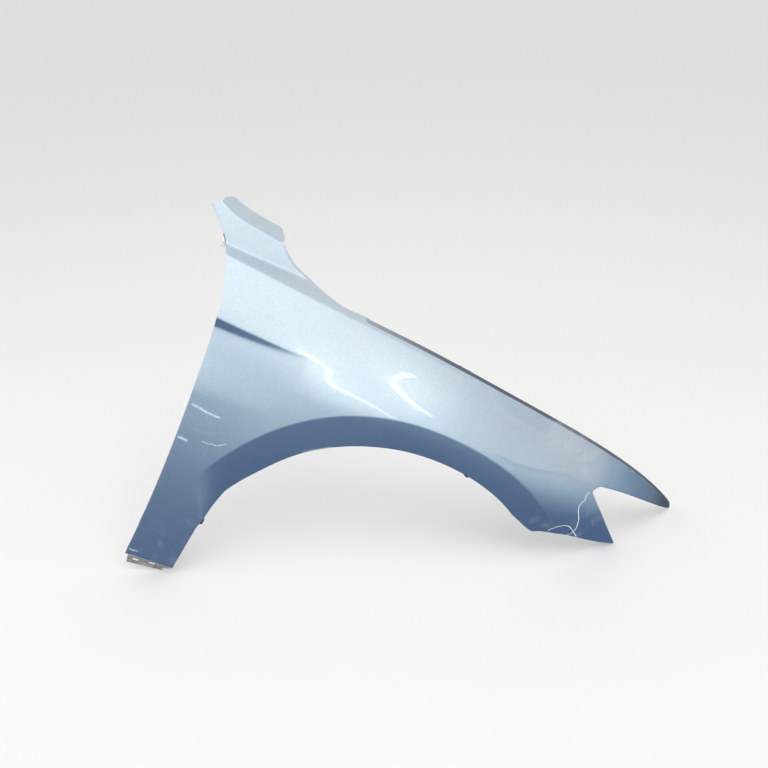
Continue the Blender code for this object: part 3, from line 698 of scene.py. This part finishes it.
paint = {
    "colour": (0.556, 0.656, 0.720),
    "shade": (0.534, 0.636, 0.706),
    "metallic": 0.94,
    "roughness": 0.40,
    "coatRoughness": 0.03,
    "flakes": 1300,
    "glitter": ((0.90, 0.91, 0.92), (1.10, 1.09, 1.08)),
    "coatIor": 1.5,
    "peelBump": (0.00003, 0.5),
    "dulls": {"metallic": 0.7, "roughness": 0.3, "coat": 0.9},       # what the full dirt, wear and painted shade take or add
    "noseShadeDulls": 0.6,                                               # the painted nose shade counts for less there
    # scale, detail and roughness of each noise
    "clouds": (5, 3, 0.5),
    "film": (38, 6, 0.65),
    "wipes": (22, 5, 0.6),
    "specks": (420, 2, 0.5),
    "scuffAndHighlightGrain": (260, 4, 0.7),
    "chips": (300, 3, 0.5),
    "stains": (14, 6, 0.7),
    "peel": (150, 2, 0.5),
    "wipeTurn": radians(35),
    "wipeStretch": (1.0, 1.0, 5.0),
    # where each mask starts and where it is full
    "fades": {"clouds": (0.35, 0.65), "flakes": (0.10, 0.95), "film": (0.48, 0.80),
              "wiped": (0.35, 0.75), "flat": (0.55, 0.90), "specks": (0.735, 0.76),
              "scuffAndHighlightGrain": (0.25, 0.60), "haze": (0.30, 0.70), "stains": (0.35, 0.70),
              "inner": (0.15, 0.50)},
    # colours of the dirt and wear and of the painted shade and highlights, how strong they are and where
    # they fade
    "dust": (0.50, 0.50, 0.48),
    "dustShares": {"film": 0.05, "low": 0.22, "flat": 0.06, "wiped": 0.08, "cowl": 0.55, "specks": 0.35},
    "dustHeight": (0.01, 0.24),
    "cowlDustAndReflectionReach": (0.034, 0.046),
    # pale marks and painted highlights: their colour, and where they fade across their half width
    "scuffAndHighlight": (0.80, 0.84, 0.88),
    "scuffAndHighlightEdge": (0.35, 1.6),
    "bare": (0.50, 0.51, 0.50),
    "bareReach": (0.0004, 0.0016),
    "bareShare": 0.75,
    "chipDepth": 0.0012,
    # painted shade on the narrow strip along the hood edge
    "hoodEdgeShade": (0.045, 0.060, 0.090),
    "hoodEdgeShadeReach": (0.0085, 0.0120),
    "hoodEdgeShadeShares": (0.25, 0.67),
    "hoodEdgeShadeTurns": (-0.50, -0.22),
    "hoodEdgeShadeStart": 0.002,
    "hoodEdgeShadeEvery": 5,
    # painted shade towards the nose tip: its near-black colour, where it fades in along x, and its base and
    # mottled shares
    "grimeAndShade": (0.075, 0.080, 0.085),
    "noseShadeTurns": (0.150, 0.250),
    "noseShadeShares": (0.75, 0.25),
    "haze": (0.60, 0.59, 0.62),
    "hazeLine": ((0.235, 0.462), (0.300, 0.430), (0.335, 0.405)),
    "hazeReach": (0.008, 0.050),
    "hazeShares": (0.10, 0.40),
    "inside": (0.34, 0.38, 0.42),
    "insideShares": (0.35, 0.45),
    # marks in the car's frame: points, half width, strength. The second to fourth are painted highlights,
    # thin lamp reflections on the leg, and the sixth is a painted highlight along the arch lip; the rest are
    # pale marks
    "marks": (
        (((-0.4255, 0.2480), (-0.4190, 0.2478), (-0.4123, 0.2460)), 0.0028, 0.85),
        (((-0.3840, 0.2560), (-0.3740, 0.2540), (-0.3659, 0.2575)), 0.0010, 0.70),
        (((-0.3640, 0.2560), (-0.3540, 0.2580), (-0.3429, 0.2673)), 0.0011, 0.80),
        (((-0.4051, 0.2760), (-0.3850, 0.2748), (-0.3664, 0.2806)), 0.0008, 0.35),
        (((-0.4617, -0.0621), (-0.4475, -0.0614)), 0.0022, 0.60),
        (((-0.2066, 0.2844), (-0.1837, 0.2997), (-0.1596, 0.3132)), 0.0012, 0.60),
        (((0.2361, 0.4790), (0.2544, 0.4444)), 0.0030, 0.20),
        (((0.2580, 0.4690), (0.2640, 0.4380)), 0.0022, 0.14),
        (((0.2991, 0.4421), (0.3090, 0.4180), (0.3197, 0.3971)), 0.0012, 0.35),
        (((0.3882, 0.2991), (0.3990, 0.2860)), 0.0016, 0.20),
    ),
}


def awayOnSkin(s, path):
    # distance from a line on the skin, given in the car's frame
    return s.awayFrom([tuple(standing @ skinPoint(*p)) for p in path])


def shared(shares, mask):
    base, more = shares
    return base + more * mask


def dustMask(s, film, wiped, normal):
    share, fades = paint["dustShares"], paint["fades"]
    lowest, highest = paint["dustHeight"]
    low = s.axis("Z").under(cadLow[2] + lowest, cadLow[2] + highest)
    flat = s.axis("Z", normal).over(*fades["flat"])
    # the turned-in cowl face gets strong wiped dust: partly real smudges, partly a painted reflection that
    # greys it
    cowl = awayOnSkin(s, skin["cowl"]).under(*paint["cowlDustAndReflectionReach"])
    wipes = shared((share["wiped"], share["cowl"]), cowl) * wiped.over(*fades["wiped"])
    settled = film.over(*fades["film"]) * shared((share["film"], share["low"]), low)
    return settled + flat * (share["flat"] + wipes)


# the marks table drawn as pale marks and painted highlights, broken up by a fine grain
def scuffAndHighlightMask(s):
    inner, outer = paint["scuffAndHighlightEdge"]
    scuffsAndHighlights = None
    for points, width, strength in paint["marks"]:
        mark = awayOnSkin(s, points).under(width * inner, width * outer) * strength
        scuffsAndHighlights = mark if scuffsAndHighlights is None else scuffsAndHighlights.math("MAXIMUM", mark)
    return scuffsAndHighlights * s.noise(*paint["scuffAndHighlightGrain"]).over(*paint["fades"]["scuffAndHighlightGrain"])


def paintShader():
    s = Shader("metallicPaint")
    fades = paint["fades"]
    normal = s.add("ShaderNodeNewGeometry", out="Normal")
    film = s.noise(*paint["film"])
    wiped = s.noise(*paint["wipes"], s.stretched((0, paint["wipeTurn"], 0), paint["wipeStretch"]))
    flakes = s.add("ShaderNodeSeparateColor", {}, {0: s.cells(paint["flakes"])}, out="Red")
    colour = s.mix(s.noise(*paint["clouds"]).over(*fades["clouds"]), paint["shade"], paint["colour"])
    colour = s.mix(1.0, colour, s.mix(flakes.over(*fades["flakes"]), *paint["glitter"]), "MULTIPLY")
    # dust, on the cowl face partly a painted reflection
    dust = dustMask(s, film, wiped, normal)
    specks = s.noise(*paint["specks"]).over(*fades["specks"]) * paint["dustShares"]["specks"]
    colour = s.mix((dust + specks).math("MINIMUM", 1.0), colour, paint["dust"])
    # pale marks, and painted highlights on the leg and along the arch lip
    scuffsAndHighlights = scuffAndHighlightMask(s)
    colour = s.mix(scuffsAndHighlights, colour, paint["scuffAndHighlight"])
    chips = paint["chipDepth"] * s.noise(*paint["chips"])
    worn = (awayOnSkin(s, skin["foot"]) - chips).under(*paint["bareReach"]) * paint["bareShare"]
    colour = s.mix(worn, colour, paint["bare"])
    # the narrow strip along the hood edge faces up; painted shade darkens it to deep navy, more towards the
    # nose
    edgeLine = hoodRun(skin["nose"]["x"] - paint["hoodEdgeShadeStart"], skin["hoodRear"])[::paint["hoodEdgeShadeEvery"]]
    hoodEdgeShade = awayOnSkin(s, edgeLine).under(*paint["hoodEdgeShadeReach"])
    hoodEdgeShade = hoodEdgeShade * shared(paint["hoodEdgeShadeShares"], s.axis("X").over(*paint["hoodEdgeShadeTurns"]))
    colour = s.mix(hoodEdgeShade, colour, paint["hoodEdgeShade"])
    # painted shade: the front end darkens towards the slim tip of the nose, mottled; above the notch a
    # greyer mottled band
    grimeAndShade = s.axis("X").over(*paint["noseShadeTurns"]) * shared(paint["noseShadeShares"], film)
    colour = s.mix(grimeAndShade, colour, paint["grimeAndShade"])
    haze = awayOnSkin(s, paint["hazeLine"]).under(*paint["hazeReach"])
    haze = haze * shared(paint["hazeShares"], wiped.over(*fades["haze"]))
    colour = s.mix(haze, colour, paint["haze"])
    # the inner side has thinner, duller paint and road dust
    stains = s.noise(*paint["stains"]).over(*fades["stains"])
    inner = s.axis("Y", normal).over(*fades["inner"]) * shared(paint["insideShares"], stains)
    colour = s.mix(inner, colour, paint["inside"])
    dull = dust + scuffsAndHighlights + worn + hoodEdgeShade + grimeAndShade * paint["noseShadeDulls"] + haze + inner
    dull = dull.math("MINIMUM", 1.0)
    s.fill(s.surface, {
        "Base Color": colour,
        "Metallic": paint["metallic"] - paint["dulls"]["metallic"] * dull,
        "Roughness": paint["roughness"] + paint["dulls"]["roughness"] * dull,
        "Normal": s.bump(s.noise(*paint["peel"]), *paint["peelBump"]),
        "Coat Weight": 1.0 - paint["dulls"]["coat"] * dull,
        "Coat Roughness": paint["coatRoughness"],
        "Coat IOR": paint["coatIor"],
    })
    return s.material


fenderSkin.data.materials.clear()
fenderSkin.data.materials.append(paintShader())
print("skin painted")


# Bracket and clips

bareSheet = {
    "dark": (0.24, 0.23, 0.21),
    "light": (0.62, 0.60, 0.57),
    "rust": (0.20, 0.13, 0.08),
    "rustShare": 0.6,
    "wear": (120, 6, 0.7),
    "wearFades": (0.3, 0.7),
    "rustSpots": (45, 5, 0.6),
    "rustFades": (0.50, 0.66),
    "metallic": 0.55,
    "rustDulls": 0.45,
    "roughness": (0.5, 0.3),
    "bump": (0.0003, 0.8),
}
plastics = {
    "grain": (900, 3, 0.5),
    "grainBump": (0.00006, 0.5),
    "grimeAndShade": (160, 5, 0.5),
    "grimeFades": (0.45, 0.75),
    "grimeRoughness": 0.15,
    "black": {"clean": (0.016, 0.016, 0.018), "dirty": (0.035, 0.033, 0.030), "roughness": 0.45},
    "white": {"clean": (0.82, 0.81, 0.77), "dirty": (0.52, 0.50, 0.45), "roughness": 0.40},
}


def bracketShader():
    s = Shader("bareSheet")
    wear = s.noise(*bareSheet["wear"])
    rust = s.noise(*bareSheet["rustSpots"]).over(*bareSheet["rustFades"])
    base = s.mix(wear.over(*bareSheet["wearFades"]), bareSheet["dark"], bareSheet["light"])
    s.fill(s.surface, {
        "Base Color": s.mix(rust * bareSheet["rustShare"], base, bareSheet["rust"]),
        "Metallic": bareSheet["metallic"] - bareSheet["rustDulls"] * rust,
        "Roughness": shared(bareSheet["roughness"], wear),
        "Normal": s.bump(wear, *bareSheet["bump"]),
    })
    return s.material


def plasticShader(name):
    s = Shader(f"{name}Plastic")
    tone = plastics[name]
    grimeAndShade = s.noise(*plastics["grimeAndShade"]).over(*plastics["grimeFades"])
    s.fill(s.surface, {
        "Base Color": s.mix(grimeAndShade, tone["clean"], tone["dirty"]),
        "Roughness": tone["roughness"] + plastics["grimeRoughness"] * grimeAndShade,
        "Normal": s.bump(s.noise(*plastics["grain"]), *plastics["grainBump"]),
    })
    return s.material


blackPlastic = plasticShader("black")
finishes = {
    "sill_bracket": bracketShader(),
    "liner_clip_rear": blackPlastic,
    "liner_clip_front": blackPlastic,
    "bumper_clip_rear": blackPlastic,
    "bumper_clip_front": blackPlastic,
    "pillar_clip": plasticShader("white"),
}
for name, finish in finishes.items():
    nodes[name].material_slots[0].material = finish
print("bracket and clips finished")


# Thin pale line below the headlamp notch

line = {
    "width": 0.0017,
    "proud": 0.0003,
    "step": 0.0015,
    "rounding": 7,            # points over which its corners are rounded
    "colours": ((0.84, 0.86, 0.88), (0.95, 0.96, 0.97)),
    "mottle": (300, 3, 0.5),
    "roughness": 0.6,
    "paths": (
        ((0.3518, 0.3660), (0.3440, 0.3620), (0.3425, 0.3540), (0.3465, 0.3480), (0.3395, 0.3380),
         (0.3400, 0.3260), (0.3500, 0.3090), (0.3567, 0.2981), (0.3640, 0.2800), (0.3670, 0.2640),
         (0.3640, 0.2520), (0.3560, 0.2430)),
        ((0.3108, 0.2480), (0.3125, 0.2600), (0.3200, 0.2700), (0.3357, 0.2775), (0.3480, 0.2755),
         (0.3600, 0.2660), (0.3750, 0.2520), (0.3860, 0.2420)),
    ),
}


def drawLine(name, points, material):
    # a flat ribbon that lies on the skin
    run = pathLengths(points)
    places = np.arange(0, run[-1], line["step"])
    window = np.ones(line["rounding"]) / line["rounding"]
    path = np.column_stack([np.convolve(np.interp(places, run, values), window, "valid")
                            for values in np.array(points).T])
    along = np.gradient(path, axis=0)
    along /= np.linalg.norm(along, axis=1)[:, None]
    side = np.column_stack([-along[:, 1], along[:, 0]]) * line["width"] / 2
    bm = bmesh.new()
    rows = [[bm.verts.new((p[0], float(depthAt(p[0], p[1])) - line["proud"], p[1])) for p in rail]
            for rail in (path - side, path + side)]
    for a, b, c, d in zip(rows[0], rows[0][1:], rows[1][1:], rows[1]):
        bm.faces.new((a, b, c, d))
    bm.transform(standing)
    ribbon = makeObject(bm, name, material)
    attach(ribbon, "root")


def lineShader():
    s = Shader("paleLine")
    tone = s.mix(s.noise(*line["mottle"]), *line["colours"])
    s.fill(s.surface, {"Base Color": tone, "Roughness": line["roughness"]})
    return s.material


pale = lineShader()
for number, points in enumerate(line["paths"]):
    drawLine(f"paleLine{number + 1}", points, pale)
print("pale line drawn")


# Floor, light and camera

studio = {
    "floorSize": 30.0,
    "floorParts": 8,
    "floorGap": 0.0010,
    "floorColour": (0.80, 0.80, 0.79),
    "floorRoughness": 0.9,
    "floorSpecular": 0.1,
    # what the paint mirrors of the floor: close by, and far out to the left, ahead and to the right
    "mirrorNear": (0.062, 0.120, 0.262),
    "mirrorMiddle": (0.28, 0.42, 0.585),
    "mirrorLeft": (0.77, 0.88, 0.97),
    "mirrorAhead": (1.24, 1.30, 1.31),
    "mirrorRight": (0.80, 0.80, 0.83),
    "mirrorTurns": ((-1.00, -0.70), (-0.25, 0.78)),
    "mirrorReach": ((0.20, 0.52), (0.38, 0.90)),
    "mirrorSlant": 0.20,                    # on the left the near tone reaches out this much further
    "mirrorBehind": 0.40,                   # the near tone goes this far on behind the fender
    "mirrorSide": (-0.05, 0.40),            # and ends sooner to the right of this, by at most so much
    "background": (0.74, 0.74, 0.73),
    "ambient": 0.90,
    "roomBright": (1.49, 1.48, 1.47),
    "roomDim": (0.64, 0.66, 0.71),          # the same on the right, where the room is darker
    "roomTurns": (0.34, 0.58),
    "roomSlant": 0.25,
    "roomBack": (0.88, 0.88, 0.90),         # and behind the fender
    "roomBackTurns": (-0.25, 0.25),
    # soft lamps: place from the middle of the fender, size and power
    "lamps": {"key": ((0.4, -1.2, 2.6), (2.4, 1.6), 30),
              "fill": ((-1.8, -0.6, 1.6), (1.4, 1.4), 6)},
}


def floorShader(front):
    s = Shader("floor")
    s.fill(s.surface, {"Base Color": studio["floorColour"], "Roughness": studio["floorRoughness"],
                       "Specular IOR Level": studio["floorSpecular"]})
    glossy = s.add("ShaderNodeLightPath", out="Is Glossy Ray")
    left, right = studio["mirrorTurns"]
    start, most = studio["mirrorSide"]
    middling, farther = studio["mirrorReach"]
    x, y = s.axis("X"), s.axis("Y")
    ahead = x.over(*left)
    away = (front - y).math("MAXIMUM", y - front - studio["mirrorBehind"])
    away = away + (x - start).math("MAXIMUM", 0.0).math("MINIMUM", most)
    away = away - studio["mirrorSlant"] * (1 - ahead)
    far = s.mix(ahead, studio["mirrorLeft"], studio["mirrorAhead"])
    far = s.mix(x.over(*right), far, studio["mirrorRight"])
    tone = s.mix(away.over(*middling), studio["mirrorNear"], studio["mirrorMiddle"])
    tone = s.mix(away.over(*farther), tone, far)
    glow = s.add("ShaderNodeEmission", {}, {"Color": tone, "Strength": 1.0})
    both = s.add("ShaderNodeMixShader", {}, {0: glossy, 1: Signal(s, s.surface.outputs[0]), 2: glow})
    s.put(s.tree.nodes["Material Output"].inputs["Surface"], both)
    return s.material


def makeFloor():
    bm = bmesh.new()
    parts = studio["floorParts"]
    bmesh.ops.create_grid(bm, x_segments=parts, y_segments=parts, size=studio["floorSize"] / 2)
    centre = (float(cadLow[0] + cadHigh[0]) / 2, float(cadLow[1]), float(cadLow[2]) - studio["floorGap"])
    bmesh.ops.translate(bm, verts=bm.verts, vec=centre)
    makeObject(bm, "floor", floorShader(centre[1]))


def makeWorld():
    s = Shader("studio", world=True)
    seen = s.add("ShaderNodeLightPath", out="Is Camera Ray")
    glossy = s.add("ShaderNodeLightPath", out="Is Glossy Ray")
    across = s.axis("X") - studio["roomSlant"] * s.axis("Z")
    room = s.mix(across.over(*studio["roomTurns"]), studio["roomBright"], studio["roomDim"])
    room = s.mix(s.axis("Y").over(*studio["roomBackTurns"]), room, studio["roomBack"])
    lit = s.mix(glossy, (studio["ambient"],) * 3, room)
    s.fill(s.surface, {"Color": s.mix(seen, lit, studio["background"])})
    bpy.context.scene.world = s.material


def makeLight(name, place, aim, size, power, along=(1, 0, 0), beam=None):
    # a light with a beam shows only in mirror images
    data = bpy.data.lights.new(name, "AREA")
    data.shape = "RECTANGLE"
    data.size, data.size_y = size
    data.energy = power
    if beam:
        data.spread = beam
    lamp = bpy.data.objects.new(name, data)
    back = (Vector(place) - Vector(aim)).normalized()
    side = Vector(along)
    side = (side - side.dot(back) * back).normalized()
    turn = Matrix((side, back.cross(side), back)).transposed().to_4x4()
    lamp.matrix_world = Matrix.Translation(place) @ turn
    lamp.visible_camera = False
    lamp.visible_glossy = bool(beam)
    lamp.visible_diffuse = not beam
    lamp.visible_transmission = not beam
    bpy.context.scene.collection.objects.link(lamp)


camera = {
    "place": (-0.36397, -1.14705, 0.82348),
    "tilt": radians(58),
    "lens": 34.4,
    "sensor": 36,
}


def makeCamera():
    data = bpy.data.cameras.new("camera")
    data.sensor_width = camera["sensor"]
    data.lens = camera["lens"]
    made = bpy.data.objects.new("camera", data)
    made.location = camera["place"]
    made.rotation_euler = (camera["tilt"], 0, 0)
    bpy.context.scene.collection.objects.link(made)
    bpy.context.scene.camera = made


# strip lights whose mirror images are the bright streaks on the side: for each its power per
# square metre, and places on the skin with the width of the streak there
streaks = {
    "ahead": 0.60,            # how far in front of the skin the strips hang
    "beam": radians(30),      # how widely they shine, so that they light little but their own image
    "overlap": 0.3,           # share of its width by which a strip laps over the next
    "probe": 0.002,
    "lines": (
        (0.33, ((-0.2738, 0.4911, 0.0030), (-0.2634, 0.4911, 0.0080), (-0.2380, 0.4842, 0.0046),
                (-0.2215, 0.4789, 0.0050), (-0.2135, 0.4745, 0.0080), (-0.2158, 0.4655, 0.0085),
                (-0.2114, 0.4582, 0.0085), (-0.1974, 0.4506, 0.0070), (-0.1752, 0.4469, 0.0056),
                (-0.1298, 0.4378, 0.0048), (-0.0773, 0.4250, 0.0030))),
        (0.34, ((-0.0753, 0.5054, 0.0070), (-0.0923, 0.5016, 0.0100), (-0.1042, 0.4929, 0.0120),
                (-0.1035, 0.4834, 0.0125), (-0.0881, 0.4740, 0.0100), (-0.0650, 0.4618, 0.0084),
                (-0.0400, 0.4534, 0.0062), (-0.0203, 0.4477, 0.0034))),
        (0.80, ((-0.4188, 0.3271, 0.0012), (-0.3844, 0.3188, 0.0032), (-0.3457, 0.3162, 0.0012))),
    ),
}


def mirrored(x, z):
    # the place in front of the skin that the camera sees in it at this point
    probe = streaks["probe"]
    slopeX = float(depthAt(x + probe, z) - depthAt(x - probe, z)) / (2 * probe)
    slopeZ = float(depthAt(x, z + probe) - depthAt(x, z - probe)) / (2 * probe)
    normal = (standing.to_3x3() @ Vector((slopeX, -1, slopeZ))).normalized()
    point = standing @ skinPoint(x, z)
    out = (point - Vector(camera["place"])).normalized().reflect(normal)
    return point + out * (streaks["ahead"] / -out.y)


def makeStreaks():
    number = 0
    for power, path in streaks["lines"]:
        for (ax, az, aWidth), (bx, bz, bWidth) in zip(path, path[1:]):
            number += 1
            x, z = (ax + bx) / 2, (az + bz) / 2
            half = (aWidth + bWidth) / 4 / hypot(bx - ax, bz - az)
            run = mirrored(bx, bz) - mirrored(ax, az)
            across = mirrored(x - (bz - az) * half, z + (bx - ax) * half) \
                - mirrored(x + (bz - az) * half, z - (bx - ax) * half)
            width = (across - across.project(run)).length
            size = (run.length + streaks["overlap"] * width, width)
            place = (mirrored(ax, az) + mirrored(bx, bz)) / 2
            makeLight(f"streak{number}", place, standing @ skinPoint(x, z), size,
                      power * size[0] * size[1], run, streaks["beam"])


makeCamera()
makeFloor()
makeWorld()
middle = (Vector(cadLow) + Vector(cadHigh)) / 2
for name, (offset, size, power) in studio["lamps"].items():
    makeLight(name, middle + Vector(offset), middle, size, power)
makeStreaks()
bpy.context.scene.view_settings.view_transform = "Standard"
print("studio ready")
